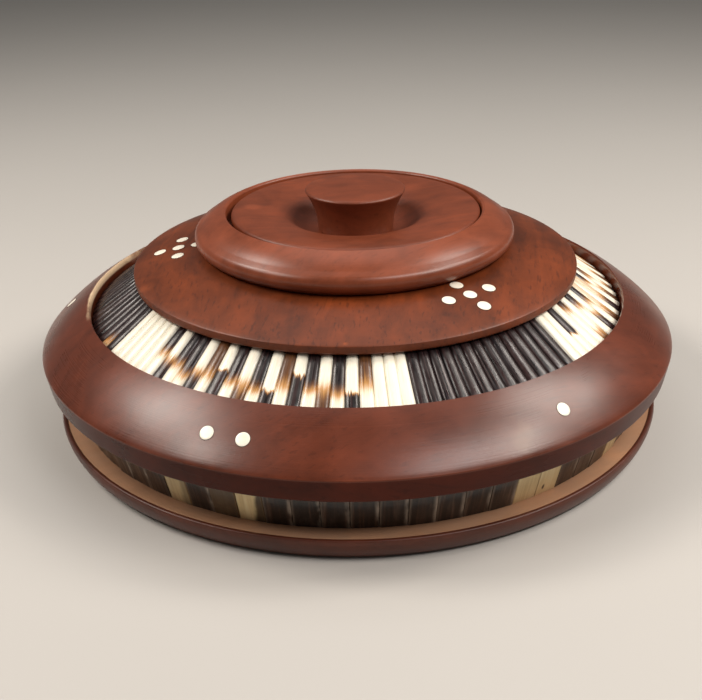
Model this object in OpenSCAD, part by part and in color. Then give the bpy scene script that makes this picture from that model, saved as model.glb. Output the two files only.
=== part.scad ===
// Lidded hardwood bowl, turned in rings, with a band of porcupine quills round its
// shoulder, a band of horn and bone plates under its rim, and bone dots set in the wood.
// Everything is turned about Z. The origin is the centre of the face it stands on.

/* [Rim] */
// Radius of the bowl at its widest, the crease of the rim ring
rim_r = 140; // [138:0.5:142]
// Height of that crease above the table
rim_z = 38.4; // [37.5:0.1:39]
// Radius of the opening in the rim ring, round the quills
opening_r = 117.6; // [117.2:0.1:119]
// Height of the lip round that opening
lip_z = 55.4; // [54:0.1:57]
// Radius of the curve of the ring's upper face
rim_crown_r = 90; // [70:5:140]

/* [Base] */
// Radius of the face that the bowl stands on
foot_r = 131.3; // [130:0.1:132]
// Widest radius of the base plate
base_r = 135.2; // [134.5:0.1:136]
// Height of the bare ledge that the plates stand on
ledge_z = 9.4; // [9:0.1:10]

/* [Shoulder] */
// Radius of the shoulder disc
shoulder_r = 97.5; // [97:0.1:98]
// Height of the top edge of the shoulder disc
shoulder_z = 69.8; // [69.5:0.1:71]
// Thickness of the shoulder disc at its edge
shoulder_edge = 3.8; // [3.6:0.1:4]
// Radius of the curve of the disc's upper face
shoulder_crown_r = 108; // [90:1:200]

/* [Collar] */
// Radius of the collar ring at its rounded nose
nose_r = 70; // [69:0.5:71]
// Radius of the collar where it meets the shoulder disc
seat_r = 66; // [65:0.5:67]
// Height of the collar's crest
crest_z = 92.2; // [92:0.1:93]
// Radius of the recess that the lid sits in
recess_r = 55.9; // [55.7:0.1:56.2]
// Radius of the bowl's mouth
mouth_r = 50.5; // [50.2:0.1:50.8]

/* [Lid] */
// Radius of the lid
lid_r = 54.4; // [54:0.1:54.6]
// How far the lid rests off centre, within its play
lid_shift = 0.7; // [0:0.1:0.9]
// Radius of the knob's top edge
knob_r = 21.9; // [21:0.1:23]
// Height of the knob's top edge
knob_z = 100.2; // [99:0.1:101]

/* [Inlay] */
// Mean thickness of a quill at its outer end
quill_d = 5.3; // [5:0.1:5.5]
// Number of plates under the rim
plate_count = 75; // [70:1:80]
// Diameter of a bone dot
dot_d = 5.6; // [5:0.1:6]

/* [Hidden] */
$fn = 96;

// Woods, quill, horn and bone
red_wood = "#7a3b26";
collar_wood = "#8a4a36";
shoulder_wood = "#84451f";
bone_white = "#efe6cf";
quill_white = "#efe3c4";
quill_dark = "#2a2220";
quill_brown = "#8a6238";
horn_dark = "#241d1a";

// Cut corners and small steps
edge_round = 1.2;      // rounding of the turned outside edges
lip_round = 0.6;       // rounding of the thin lips
skin = 0.04;           // gap that keeps neighbouring pieces apart

// Underside of the rim ring, and the joint between the two halves of the vessel
rim_low_r = rim_r - 1.7;
rim_low_z = 28.2;
joint_z = 29.2;
joint_r = 131.3;

// Quills: the line along their tops, seen in section
quill_in = [95.6, 65.4];
quill_out = [114.5, 52.3];
quill_tilt = atan2(quill_in[1] - quill_out[1], quill_out[0] - quill_in[0]);
// the shell's slope, a quill's thickness below that line
bed_in = below(quill_in, quill_d * quill_in[0] / quill_out[0]);
bed_out = below(quill_out, quill_d);
bed_slope = (bed_in[1] - bed_out[1]) / (bed_out[0] - bed_in[0]);
bed_stop_r = 92;       // step that the quills' inner ends stand against
// runs of like quills, clockwise from above: first and last azimuth, and how many
white_front = [2.8, 10.5, 3];
dark_right = [10.5, 47.6, 14];
white_right = [47.6, 58.4, 4];
mixed_right = [58.4, 125, 25];
mixed_back = [125, 249, 46];
dark_left = [249, 299.1, 19];
white_left = [299.1, 312.6, 5];
mixed_front = [312.6, 362.8, 18];

// Plates under the rim
plate_pitch = 360 / plate_count;
plate_first = 26.8;    // azimuth of the left side of the first bone plate
plate_foot_r = 126;
plate_top_r = 131.2;
plate_top_z = 28.9;
plate_thick = 4.4;
plate_gap = 0.12;      // angle between neighbours, in degrees
bone_plates = [0, 1, 5, 23, 37, 48, 62, 64, 65];

// Vessel
shoulder_seat_z = shoulder_z - shoulder_edge;
vessel_floor_z = 14;
vessel_ceiling_z = 57;
hollow_r = 114;        // widest radius of the hollow
collar_seat_z = 77;
rebate_z = 84;         // ledge in the collar that the lid rests on
lid_rest_z = rebate_z + 0.05;

// Lid
lid_top_z = 91.6;
lid_plug_r = 49;
lid_plug_z = 78;
dish_lip = [28.7, 88.4];
dish_floor = [17.6, 82.4];
tenon_r = 8;
tenon_gap = 0.05;

// Dots
dot_depth = 3;
dot_proud = 0.15;
group_r = 78;          // radius of the middle dot of each five
group_step = 8.3;      // from the middle dot to those nearer and farther from the axis
group_turn = 7.6;      // degrees from the middle dot to those beside it
group_azimuths = [34.8, -88.4, 153.2];
rim_dot_r = 130.8;
rim_dot_azimuths = [34.9, -24.9, -18.6, -92.5, 153.2];

function reversed(points) = [for (i = [len(points) - 1:-1:0]) points[i]];
function run_pitch(run) = (run[1] - run[0]) / run[2];
function half_width(r, pitch) = r * sin(pitch / 2) - skin;
function above(p, d) = [p[0] + d * sin(quill_tilt), p[1] + d * cos(quill_tilt)];
function below(p, d) = [p[0] - d * sin(quill_tilt), p[1] - d * cos(quill_tilt)];
function bed_z(r) = bed_out[1] + (bed_out[0] - r) * bed_slope;

// points of an arc about (cr, cz), from angle a0 to a1
function arc(cr, cz, rad, a0, a1, steps = 6) =
    [for (i = [0:steps]) [cr + rad * cos(a0 + (a1 - a0) * i / steps),
                          cz + rad * sin(a0 + (a1 - a0) * i / steps)]];
// centre of the circle of a given radius that bulges up over two points, inner one first
function crown_centre(p, q, rad) =
    let (m = (p + q) / 2, v = q - p, len = norm(v), h = sqrt(rad * rad - len * len / 4))
    [m[0] + v[1] / len * h, m[1] - v[0] / len * h];
// points of that crown from p to q
function crown(p, q, rad, steps = 8) =
    let (c = crown_centre(p, q, rad),
         a0 = atan2(p[1] - c[1], p[0] - c[0]), a1 = atan2(q[1] - c[1], q[0] - c[0]))
    arc(c[0], c[1], rad, a0, a1, steps);
// height and slope of a crown at radius r
function crown_z(c, rad, r) = c[1] + sqrt(rad * rad - (r - c[0]) * (r - c[0]));
function crown_tilt(c, rad, r) = asin((r - c[0]) / rad);

shoulder_in = [seat_r, collar_seat_z];
shoulder_out = [shoulder_r - lip_round, shoulder_z];
shoulder_c = crown_centre(shoulder_in, shoulder_out, shoulder_crown_r);
rim_in = [opening_r + lip_round, lip_z];
rim_out = [rim_r - edge_round, rim_z + edge_round];
rim_c = crown_centre(rim_in, rim_out, rim_crown_r);

module turned(points) {
    rotate_extrude() polygon(points);
}

// turns its children to an azimuth, counted from the front (-Y) towards +X
module at_azimuth(a) {
    rotate([0, 0, a - 90]) children();
}

// ---- wooden pieces ----

module base_plate() {
    foot_in = 118;
    foot_recess = 1.5;
    lip_r = base_r - 2;
    color(red_wood) turned(concat(
        [[0, foot_recess], [foot_in, foot_recess], [foot_in + 1, 0], [foot_r - 1, 0]],
        reversed(crown([base_r, ledge_z - 1.2], [foot_r, 0.6], 12, 6)),
        [[base_r - 0.5, ledge_z + 0.2], [base_r - 1.2, ledge_z + 0.5],
         [lip_r + 0.2, ledge_z + 0.4], [lip_r, ledge_z], [0, ledge_z]]));
}

module lower_bowl() {
    wall_foot_r = plate_foot_r - plate_thick - 0.3;
    wall_top_r = plate_top_r - plate_thick - 0.3;
    cove = 20;
    color(red_wood) turned(concat(
        [[0, ledge_z], [wall_foot_r, ledge_z], [wall_top_r, joint_z], [hollow_r, joint_z]],
        arc(hollow_r - cove, vessel_floor_z + cove, cove, -14, -90, 8),
        [[0, vessel_floor_z]]));
}

module upper_shell() {
    ceiling_r = hollow_r - (vessel_ceiling_z - joint_z) / bed_slope;
    color(red_wood) turned([
        [mouth_r, vessel_ceiling_z], [ceiling_r, vessel_ceiling_z], [hollow_r, joint_z],
        [joint_r, joint_z], [joint_r, bed_z(joint_r)], [bed_stop_r, bed_z(bed_stop_r)],
        [bed_stop_r, shoulder_seat_z], [mouth_r, shoulder_seat_z]]);
}

module rim_ring() {
    inner_r = joint_r + skin;
    difference() {
        color(red_wood) turned(concat(
            [[inner_r, joint_z], [rim_low_r - 1, rim_low_z]],
            [[rim_low_r, rim_low_z + 0.8]],
            [[rim_r - 0.3, rim_z - 1.6]],
            [[rim_r, rim_z - 0.4], [rim_r - 0.3, rim_z + 0.5]],
            reversed(crown(rim_in, rim_out, rim_crown_r, 10)),
            [[opening_r, lip_z - lip_round], [opening_r, bed_z(opening_r) + skin],
             [inner_r, bed_z(inner_r) + skin]]));
        rim_dot_places() dot_hole();
    }
}

module shoulder_disc() {
    difference() {
        color(shoulder_wood) turned(concat(
            [[mouth_r, shoulder_seat_z], [shoulder_r - 0.8, shoulder_seat_z],
             [shoulder_r - 0.2, shoulder_seat_z + 0.6], [shoulder_r, shoulder_z - lip_round]],
            reversed(crown(shoulder_in, shoulder_out, shoulder_crown_r, 8)),
            [[mouth_r, collar_seat_z]]));
        for (a = group_azimuths) five_dots(a) dot_hole();
    }
}

module collar_ring() {
    nose_z = 82.2;
    nose_round = 4.4;
    color(collar_wood) turned(concat(
        [[mouth_r, collar_seat_z], [seat_r, collar_seat_z], [seat_r + 1, collar_seat_z + 0.5]],
        arc(nose_r - nose_round, nose_z, nose_round, -62, 52, 8),
        reversed(crown([recess_r + 1.2, crest_z], [nose_r - 3.4, nose_z + 4.4], 26, 6)),
        [[recess_r + 0.3, crest_z - 0.2], [recess_r, crest_z - 0.8], [recess_r, rebate_z],
         [mouth_r, rebate_z]]));
}

module lid_disc() {
    color(red_wood) translate([lid_shift, 0, 0]) turned(concat(
        [[tenon_r + tenon_gap, lid_plug_z], [lid_plug_r - 1, lid_plug_z],
         [lid_plug_r, lid_plug_z + 1], [lid_plug_r, lid_rest_z], [lid_r, lid_rest_z],
         [lid_r, lid_top_z - 1.4], [lid_r - 0.5, lid_top_z - 0.4], [lid_r - 1.6, lid_top_z]],
        reversed(crown(dish_lip, [lid_r - 3.4, lid_top_z + 0.1], 84, 8)),
        arc(dish_lip[0] - 1.6, dish_lip[1] - 2.2, 1.6, 70, 150, 3),
        [[22.6, 84.1], [20.2, 82.9], dish_floor, [tenon_r + tenon_gap, dish_floor[1]]]));
}

module lid_knob() {
    foot_z = dish_floor[1];
    color(red_wood) translate([lid_shift, 0, 0]) turned(concat(
        [[0, lid_plug_z], [tenon_r, lid_plug_z], [tenon_r, foot_z + skin],
         [16.6, foot_z + skin]],
        // the hollow flare of the side
        [for (i = [1:7]) let (u = i / 7)
            [16.6 + (knob_r - 17.2) * pow(u, 2.1), foot_z + (knob_z - 1.4 - foot_z) * u]],
        [[knob_r, knob_z - 0.6], [knob_r - 0.3, knob_z + 0.1]],
        reversed(crown([0, knob_z + 1.6], [knob_r - 1.2, knob_z + 0.4], 200, 5))));
}

// ---- quills round the shoulder ----

// one quill of a given pitch, tapered inwards, lying on the shell's slope along +X
module quill(pitch) {
    r_in = half_width(quill_in[0], pitch);
    r_out = half_width(quill_out[0], pitch);
    axis_in = above(bed_in, r_in + skin);
    axis_out = above(bed_out, r_out + skin);
    tilt = atan2(axis_in[1] - axis_out[1], axis_out[0] - axis_in[0]);
    translate([axis_in[0], 0, axis_in[1]])
        rotate([0, 90 + tilt, 0])
            cylinder(h = norm(axis_out - axis_in), r1 = r_in, r2 = r_out, $fn = 24);
}

module quill_run(run, shade) {
    pitch = run_pitch(run);
    color(shade) for (i = [0:run[2] - 1])
        at_azimuth(run[0] + (i + 0.5) * pitch) quill(pitch);
}

module quills_white_front() { quill_run(white_front, quill_white); }
module quills_dark_right() { quill_run(dark_right, quill_dark); }
module quills_white_right() { quill_run(white_right, quill_white); }
module quills_mixed_right() { quill_run(mixed_right, quill_brown); }
module quills_mixed_back() { quill_run(mixed_back, quill_brown); }
module quills_dark_left() { quill_run(dark_left, quill_dark); }
module quills_white_left() { quill_run(white_left, quill_white); }
module quills_mixed_front() { quill_run(mixed_front, quill_brown); }

// ---- plates under the rim ----

// one plate, leaning outwards from the ledge
module plate() {
    foot_z = ledge_z + skin;
    rotate([0, 0, plate_gap / 2])
        rotate_extrude(angle = plate_pitch - plate_gap)
            polygon([[plate_foot_r - plate_thick, foot_z], [plate_foot_r, foot_z],
                     [plate_top_r, plate_top_z], [plate_top_r - plate_thick, plate_top_z]]);
}

module plate_ring(places, shade) {
    color(shade) for (i = places)
        at_azimuth(plate_first + i * plate_pitch) plate();
}

module plates_bone() { plate_ring(bone_plates, bone_white); }
module plates_horn() {
    plate_ring([for (i = [0:plate_count - 1]) if (len(search(i, bone_plates)) == 0) i], horn_dark);
}

// ---- bone dots ----

module dot_hole() {
    translate([0, 0, -dot_depth]) cylinder(h = dot_depth + 2, d = dot_d, $fn = 32);
}

module dot() {
    translate([0, 0, -dot_depth + skin])
        cylinder(h = dot_depth + dot_proud, d = dot_d - 2 * skin, $fn = 32);
}

// puts its children on a crown at radius r, square to the wood
module on_crown(c, rad, r, azimuth) {
    at_azimuth(azimuth) translate([r, 0, crown_z(c, rad, r)])
        rotate([0, crown_tilt(c, rad, r), 0]) children();
}

module five_dots(azimuth) {
    for (side = [-1, 0, 1])
        on_crown(shoulder_c, shoulder_crown_r, group_r, azimuth + side * group_turn) children();
    for (side = [-1, 1])
        on_crown(shoulder_c, shoulder_crown_r, group_r + side * group_step, azimuth) children();
}

module rim_dot_places() {
    for (a = rim_dot_azimuths)
        on_crown(rim_c, rim_crown_r, rim_dot_r, a) children();
}

module shoulder_dots_right() { color(bone_white) five_dots(group_azimuths[0]) dot(); }
module shoulder_dots_left() { color(bone_white) five_dots(group_azimuths[1]) dot(); }
module shoulder_dots_back() { color(bone_white) five_dots(group_azimuths[2]) dot(); }
module rim_dots() { color(bone_white) rim_dot_places() dot(); }

base_plate();
lower_bowl();
upper_shell();
rim_ring();
shoulder_disc();
collar_ring();
lid_disc();
lid_knob();
quills_white_front();
quills_dark_right();
quills_white_right();
quills_mixed_right();
quills_mixed_back();
quills_dark_left();
quills_white_left();
quills_mixed_front();
plates_horn();
plates_bone();
shoulder_dots_right();
shoulder_dots_left();
shoulder_dots_back();
rim_dots();
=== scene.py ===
"""Turned hardwood bowl with a lift-off lid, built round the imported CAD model.

Sizes in the outlines are millimetres; everything placed in Blender is metres.
Azimuths are degrees counted from the front (-Y) towards +X.
"""

import math
import random

import bmesh
import bpy
from mathutils import Matrix, Vector


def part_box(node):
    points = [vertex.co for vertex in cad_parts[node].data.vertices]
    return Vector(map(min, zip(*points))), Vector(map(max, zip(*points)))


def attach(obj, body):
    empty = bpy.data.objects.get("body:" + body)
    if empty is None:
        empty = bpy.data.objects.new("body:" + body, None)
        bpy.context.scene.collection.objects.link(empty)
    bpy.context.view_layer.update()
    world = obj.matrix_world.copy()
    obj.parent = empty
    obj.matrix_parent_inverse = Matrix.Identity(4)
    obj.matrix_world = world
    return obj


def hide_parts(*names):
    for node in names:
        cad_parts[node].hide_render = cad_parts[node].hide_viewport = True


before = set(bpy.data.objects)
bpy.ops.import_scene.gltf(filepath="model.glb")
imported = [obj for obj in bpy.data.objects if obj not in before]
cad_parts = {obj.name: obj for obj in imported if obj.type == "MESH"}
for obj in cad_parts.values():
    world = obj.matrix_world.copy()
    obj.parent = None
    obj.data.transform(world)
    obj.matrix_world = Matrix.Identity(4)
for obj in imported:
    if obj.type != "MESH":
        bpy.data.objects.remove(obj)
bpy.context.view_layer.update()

bl_info = {
    "name": "Inlaid Lidded Bowl",
    "version": (1, 0, 0),
    "blender": (4, 5, 0),
    "location": "3D View > Sidebar > Bowl",
    "description": "Builds a turned bowl with its lid, quill band, plates, bone dots and stage",
    "category": "Add Mesh",
}

MM = 0.001

# radii and heights that several turned pieces share, in millimetres
MOUTH = 50.5
HOLLOW = 114
HALVES_MEET = 29.2
SHOULDER_SEAT = 66
COLLAR_SEAT = 77
LID_REST = 84
RIM_SEAT = 131.34


# ---- sizes and colours a user would change ----


def linear(red, green, blue):
    """Scene colour of an 8-bit screen colour."""
    out = []
    for part in (red, green, blue):
        c = part / 255
        out.append(c / 12.92 if c <= 0.04045 else ((c + 0.055) / 1.055) ** 2.4)
    return tuple(out)


def length(name, description, default):
    return bpy.props.FloatProperty(
        name=name, description=description, default=default, min=0.0, precision=4, unit="LENGTH"
    )


def colour(name, description, default):
    return bpy.props.FloatVectorProperty(
        name=name, description=description, default=default, size=3, min=0.0, max=1.0,
        subtype="COLOR",
    )


def top_of(node):
    """Height of a CAD node's top, in metres."""
    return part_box(node)[1].z


def radius_of(node):
    """Half of a CAD node's width, in metres."""
    low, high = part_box(node)
    return (high.x - low.x) / 2


class BowlSizes(bpy.types.PropertyGroup):
    rim_radius: length("Rim radius", "Radius at the crease of the rim", radius_of("rim_ring"))
    crease_height: length("Crease height", "Height of the rim's crease", 0.0384)
    opening_radius: length("Opening radius", "Radius of the hole round the quills", 0.1176)
    lip_height: length("Lip height", "Height of the lip of that hole", top_of("rim_ring"))
    base_radius: length("Base radius", "Widest radius of the base", radius_of("base_plate"))
    ledge_height: length("Ledge height", "Height of the raw ledge under the plates", 0.0094)
    shoulder_radius: length(
        "Shoulder radius", "Radius of the shoulder disc", radius_of("shoulder_disc")
    )
    shoulder_height: length("Shoulder height", "Height of the disc's top edge", 0.0698)
    collar_radius: length("Collar radius", "Radius of the collar's nose", radius_of("collar_ring"))
    crest_height: length("Crest height", "Height of the collar's crest", top_of("collar_ring"))
    lid_radius: length("Lid radius", "Radius of the lid", radius_of("lid_disc"))
    knob_radius: length("Knob radius", "Radius of the knob's top", radius_of("lid_knob"))
    knob_height: length("Knob height", "Height of the knob's top edge", 0.1002)
    dot_diameter: length("Dot diameter", "Diameter of a bone dot", 0.0056)
    plate_count: bpy.props.IntProperty(
        name="Plates", description="Number of plates under the rim", default=75, min=24, max=160
    )
    turning_steps: bpy.props.IntProperty(
        name="Turning steps", description="Facets round each turned piece", default=240,
        min=48, max=720,
    )


class BowlColours(bpy.types.PropertyGroup):
    rim_wood: colour("Rim wood", "Red-brown wood of the rim and base", linear(99, 45, 25))
    shoulder_wood: colour("Shoulder wood", "Orange-brown wood of the disc", linear(106, 47, 16))
    collar_wood: colour("Collar wood", "Paler, pinker wood of the collar", linear(131, 65, 39))
    lid_wood: colour("Lid wood", "Wood of the lid and knob", linear(114, 54, 30))
    raw_wood: colour("Raw wood", "Unfinished wood of the ledge", linear(186, 138, 103))
    inner_wood: colour("Inner wood", "Wood of the hollow", linear(134, 80, 52))
    # the pale patch on the rim's lip, a painted highlight with wear
    glint_and_worn_wood: colour("Lip glint and wear", "Pale rubbed wood", linear(226, 196, 160))
    quill_cream: colour("Quill cream", "Pale part of a quill", linear(255, 250, 232))
    quill_amber: colour("Quill amber", "Where a quill turns dark", linear(204, 150, 88))
    quill_brown: colour("Quill brown", "Brown part of a quill", linear(104, 66, 38))
    quill_black: colour("Quill black", "Dark part of a quill", linear(20, 14, 15))
    horn: colour("Horn", "Dark plates under the rim", linear(30, 22, 19))
    bone: colour("Bone", "Bone plates", linear(240, 224, 182))
    dot_bone: colour("Dot bone", "Polished bone dots", linear(252, 246, 230))
    floor: colour("Floor", "Plain floor", linear(192, 189, 184))


def size(name):
    """A size in millimetres."""
    return getattr(bpy.context.scene.bowl_sizes, name) / MM


def tint(name):
    """A colour as it is set now."""
    return tuple(getattr(bpy.context.scene.bowl_colours, name))


# ---- outlines ----


def arc(centre, radius, start, end, steps):
    """Points of an arc, its angles in degrees."""
    points = []
    for i in range(steps + 1):
        angle = math.radians(start + (end - start) * i / steps)
        across = radius * math.cos(angle)
        points.append((centre[0] + across, centre[1] + radius * math.sin(angle)))
    return points


def crown_centre(inner, outer, radius):
    """Centre of the circle of that radius which bulges up over two points."""
    dr, dz = outer[0] - inner[0], outer[1] - inner[1]
    span = math.hypot(dr, dz)
    drop = math.sqrt(radius * radius - span * span / 4)
    middle = ((inner[0] + outer[0]) / 2, (inner[1] + outer[1]) / 2)
    return middle[0] + dz / span * drop, middle[1] - dr / span * drop


def crown(inner, outer, radius, steps):
    """Points of a crown, from its outer end to its inner one."""
    c = crown_centre(inner, outer, radius)
    first = math.degrees(math.atan2(outer[1] - c[1], outer[0] - c[0]))
    last = math.degrees(math.atan2(inner[1] - c[1], inner[0] - c[0]))
    return arc(c, radius, first, last, steps)


def rim_crown():
    """Ends and radius of the rim's bulging upper face."""
    inner = (size("opening_radius") + 0.6, size("lip_height"))
    outer = (size("rim_radius") - 1.2, size("crease_height") + 1.2)
    return inner, outer, 90


def shoulder_crown():
    """Ends and radius of the shoulder disc's bulging upper face."""
    inner = (SHOULDER_SEAT, COLLAR_SEAT)
    outer = (size("shoulder_radius") - 0.6, size("shoulder_height"))
    return inner, outer, 108


# ---- making pieces ----


def new_piece(name, bm, finishes, body, nodes, sharp=34):
    """Makes a bmesh into a piece that rides on a body and stands for its CAD nodes.

    Edges that bend by more than sharp degrees are shaded sharp.
    """
    bmesh.ops.remove_doubles(bm, verts=bm.verts[:], dist=0.002 * MM)
    bmesh.ops.recalc_face_normals(bm, faces=bm.faces[:])
    for face in bm.faces:
        face.smooth = True
    bend = math.radians(sharp)
    for edge in bm.edges:
        edge.smooth = len(edge.link_faces) == 2 and edge.calc_face_angle(0) < bend
    mesh = bpy.data.meshes.new(name)
    bm.to_mesh(mesh)
    bm.free()
    for finish in finishes:
        mesh.materials.append(finish)
    piece = bpy.data.objects.new(name, mesh)
    bpy.context.scene.collection.objects.link(piece)
    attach(piece, body)
    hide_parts(*nodes)
    return piece


def soften(bm, geom, offset, segments, affect="EDGES"):
    """Rounds edges or corners by an offset in millimetres."""
    bmesh.ops.bevel(
        bm, geom=geom, offset=offset * MM, segments=segments, profile=0.5, affect=affect,
        material=-1,
    )


def turned(outline, offset=0.0):
    """Spins an outline about the axis. A third number rounds that corner."""
    bm = bmesh.new()
    verts = [bm.verts.new((p[0] * MM, 0, p[1] * MM)) for p in outline]
    for a, b in zip(verts, verts[1:]):
        bm.edges.new((a, b))
    if outline[0][0] > 0 or outline[-1][0] > 0:
        bm.edges.new((verts[-1], verts[0]))
    for vert, point in zip(verts, outline):
        if len(point) > 2:
            soften(bm, [vert], point[2], 4, "VERTICES")
    bmesh.ops.spin(
        bm, geom=bm.verts[:] + bm.edges[:], cent=(0, 0, 0), axis=(0, 0, 1), dvec=(0, 0, 0),
        angle=math.tau, steps=bpy.context.scene.bowl_sizes.turning_steps, use_merge=True,
    )
    bmesh.ops.translate(bm, verts=bm.verts[:], vec=(offset, 0, 0))
    return bm


def turn_piece(node, outline, finish, body="bowl", offset=0.0):
    """Spins an outline into the piece that stands for one turned CAD node."""
    new_piece(node + "_turned", turned(outline, offset), [finish_of(finish)], body, [node])


def join_part(bm, part):
    """Adds one finished part to a piece made of many."""
    mesh = bpy.data.meshes.new("part")
    part.to_mesh(mesh)
    part.free()
    bm.from_mesh(mesh)
    bpy.data.meshes.remove(mesh)


def part_with(*layers):
    """An empty bmesh whose points carry the named vectors."""
    bm = bmesh.new()
    return bm, *(bm.verts.layers.float_vector.new(layer) for layer in layers)


def to_azimuth(azimuth):
    """Turns what lies along +X to an azimuth."""
    return Matrix.Rotation(math.radians(azimuth - 90), 4, "Z")


# ---- finishes ----


class Finish:
    """A material and short ways to join its nodes."""

    def __init__(self, name, roughness=0.4, coat=0.0, coat_roughness=0.2, ior=1.5):
        self.material = bpy.data.materials.new(name)
        self.material.use_nodes = True
        self.nodes = self.material.node_tree.nodes
        self.links = self.material.node_tree.links
        self.nodes.clear()
        self.shader = self.nodes.new("ShaderNodeBsdfPrincipled")
        output = self.nodes.new("ShaderNodeOutputMaterial")
        self.links.new(self.shader.outputs[0], output.inputs[0])
        self.shader.inputs["Roughness"].default_value = roughness
        self.shader.inputs["Coat Weight"].default_value = coat
        self.shader.inputs["Coat Roughness"].default_value = coat_roughness
        self.shader.inputs["IOR"].default_value = ior
        self.place = self.nodes.new("ShaderNodeTexCoord").outputs["Object"]

    def put(self, value, socket):
        """Joins a node's output to a socket, or sets the socket to a constant."""
        if isinstance(value, bpy.types.NodeSocket):
            self.links.new(value, socket)
        else:
            socket.default_value = value

    def maths(self, operation, *values):
        node = self.nodes.new("ShaderNodeMath")
        node.operation = operation
        for value, socket in zip(values, node.inputs):
            self.put(value, socket)
        return node.outputs[0]

    def add(self, first, second):
        return self.maths("ADD", first, second)

    def times(self, first, second):
        return self.maths("MULTIPLY", first, second)

    def swing(self, noise, amount):
        """How far a noise is off its middle value, times an amount."""
        return self.times(self.maths("SUBTRACT", noise, 0.5), amount)

    def vector_maths(self, operation, *values):
        node = self.nodes.new("ShaderNodeVectorMath")
        node.operation = operation
        for value, socket in zip(values, node.inputs):
            self.put(value, socket)
        return node.outputs["Value" if operation in ("LENGTH", "DISTANCE") else "Vector"]

    def mapped(self, vector, scale, turn, tip):
        """The vector in axes that are turned and tipped by degrees, then stretched."""
        node = self.nodes.new("ShaderNodeMapping")
        node.vector_type = "TEXTURE"
        node.inputs["Rotation"].default_value = (0, math.radians(tip), math.radians(turn))
        self.put(vector, node.inputs["Vector"])
        return self.vector_maths("MULTIPLY", node.outputs[0], scale)

    def noise(self, vector, scale, detail, rough, warp=0.0, w=None):
        """Noise over a vector, or over one number, w, where the vector is None."""
        node = self.nodes.new("ShaderNodeTexNoise")
        if vector is None:
            node.noise_dimensions = "1D"
            self.put(w, node.inputs["W"])
        else:
            self.put(vector, node.inputs["Vector"])
        node.inputs["Scale"].default_value = scale
        node.inputs["Detail"].default_value = detail
        node.inputs["Roughness"].default_value = rough
        node.inputs["Distortion"].default_value = warp
        return node.outputs[0]

    def span(self, value, low, high, to_low=0.0, to_high=1.0, smooth=False):
        """Maps low to to_low and high to to_high, held beyond them."""
        node = self.nodes.new("ShaderNodeMapRange")
        node.interpolation_type = "SMOOTHSTEP" if smooth else "LINEAR"
        for item, socket in zip((value, low, high, to_low, to_high), node.inputs):
            self.put(item, socket)
        return node.outputs[0]

    def ramp(self, factor, stops):
        node = self.nodes.new("ShaderNodeValToRGB")
        elements = node.color_ramp.elements
        while len(elements) < len(stops):
            elements.new(0.5)
        for element, (position, shade) in zip(elements, stops):
            element.position = position
            element.color = (*shade, 1)
        self.put(factor, node.inputs[0])
        return node.outputs[0]

    def mix(self, factor, first, second, blend="MIX"):
        node = self.nodes.new("ShaderNodeMix")
        node.data_type = "RGBA"
        node.blend_type = blend
        self.put(factor, node.inputs[0])
        for item, socket in ((first, node.inputs[6]), (second, node.inputs[7])):
            self.put((*item, 1) if isinstance(item, tuple) else item, socket)
        return node.outputs[2]

    def attribute(self, name):
        """A vector stored on the mesh's points, whole and in its three parts."""
        node = self.nodes.new("ShaderNodeAttribute")
        node.attribute_name = name
        split = self.nodes.new("ShaderNodeSeparateXYZ")
        self.links.new(node.outputs["Vector"], split.inputs[0])
        return node.outputs["Vector"], split.outputs

    def bump(self, height, distance):
        node = self.nodes.new("ShaderNodeBump")
        node.inputs["Strength"].default_value = 1.0
        node.inputs["Distance"].default_value = distance
        self.put(height, node.inputs["Height"])
        self.links.new(node.outputs[0], self.shader.inputs["Normal"])

    def spot(self, centre, reach, ragged):
        """1 at a place on the object, fading to 0 over its reach, with a ragged edge."""
        gap = self.vector_maths("DISTANCE", self.place, centre)
        gap = self.maths("DIVIDE", gap, reach)
        gap = self.add(gap, self.times(ragged, 2.4))
        return self.span(gap, 1.25, 2.3, 1.0, 0.0, smooth=True)


def shade(base, amount, warm=0.0):
    """A lighter or darker colour, warmer where warm is above 0."""
    red, green, blue = base
    return (
        min(1.0, red * amount),
        min(1.0, green * amount * (1 - 0.25 * warm)),
        min(1.0, blue * amount * (1 - 0.6 * warm)),
    )


def on_top(radius, height, azimuth):
    """A point in metres, for spots on the finish."""
    a = math.radians(azimuth)
    return (radius * MM * math.sin(a), -radius * MM * math.cos(a), height * MM)


GRAIN_TIP = 8
RINGS_PER_METRE = 2600
RAW_ROUGHNESS = 0.75


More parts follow.
